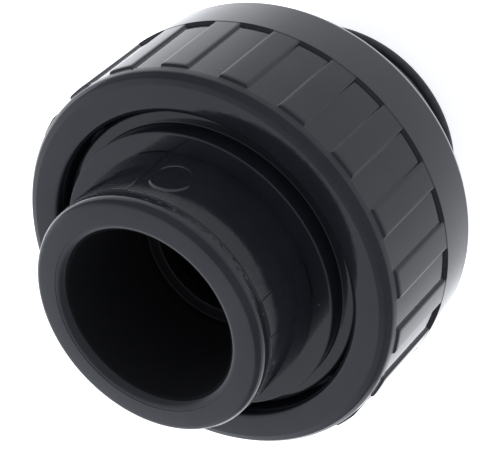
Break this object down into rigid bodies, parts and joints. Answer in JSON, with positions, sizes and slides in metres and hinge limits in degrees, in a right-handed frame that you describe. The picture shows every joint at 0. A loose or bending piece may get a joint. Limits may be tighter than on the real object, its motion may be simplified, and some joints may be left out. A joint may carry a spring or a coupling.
{
  "type": "pipe union",
  "caption": "Plastic pipe union: a glue socket clamped on an O-ring by a ribbed screw nut, with a spanner collar and a male pipe thread on the far end.",
  "frame": {"origin": "on the common axis, at the face of the threaded end", "axes": "+Z along the common axis from the threaded end to the mouth of the glue socket; a nut rib is centred on +X"},
  "size_m": [0.0484, 0.0484, 0.0466],
  "materials": {
    "nut_plastic": "satin moulded dark grey PVC-U",
    "socket_plastic": "satin moulded dark grey PVC-U",
    "adaptor_plastic": "satin moulded dark grey PVC-U",
    "seal_rubber": "matt black rubber"
  },
  "bodies": {
    "threaded_adaptor": {"threaded_adaptor": "adaptor_plastic", "o_ring": "seal_rubber"},
    "socket_end": {"socket_end": "socket_plastic"},
    "union_nut": {"union_nut": "nut_plastic"}
  },
  "joints": [
    {"name": "socket_end_lift", "type": "slide", "parent": "threaded_adaptor", "child": "socket_end", "axis": [0, 0, 1], "range_m": [0, 0.01125]},
    {"name": "nut_turn", "type": "hinge", "parent": "socket_end", "child": "union_nut", "pos_m": [0, 0, 0.026], "axis": [0, 0, 1], "range_deg": [0, 1350]}
  ],
  "couplings": [
    {"joint": "socket_end_lift", "follows": "nut_turn", "m_per_rad": 0.00047746}
  ]
}
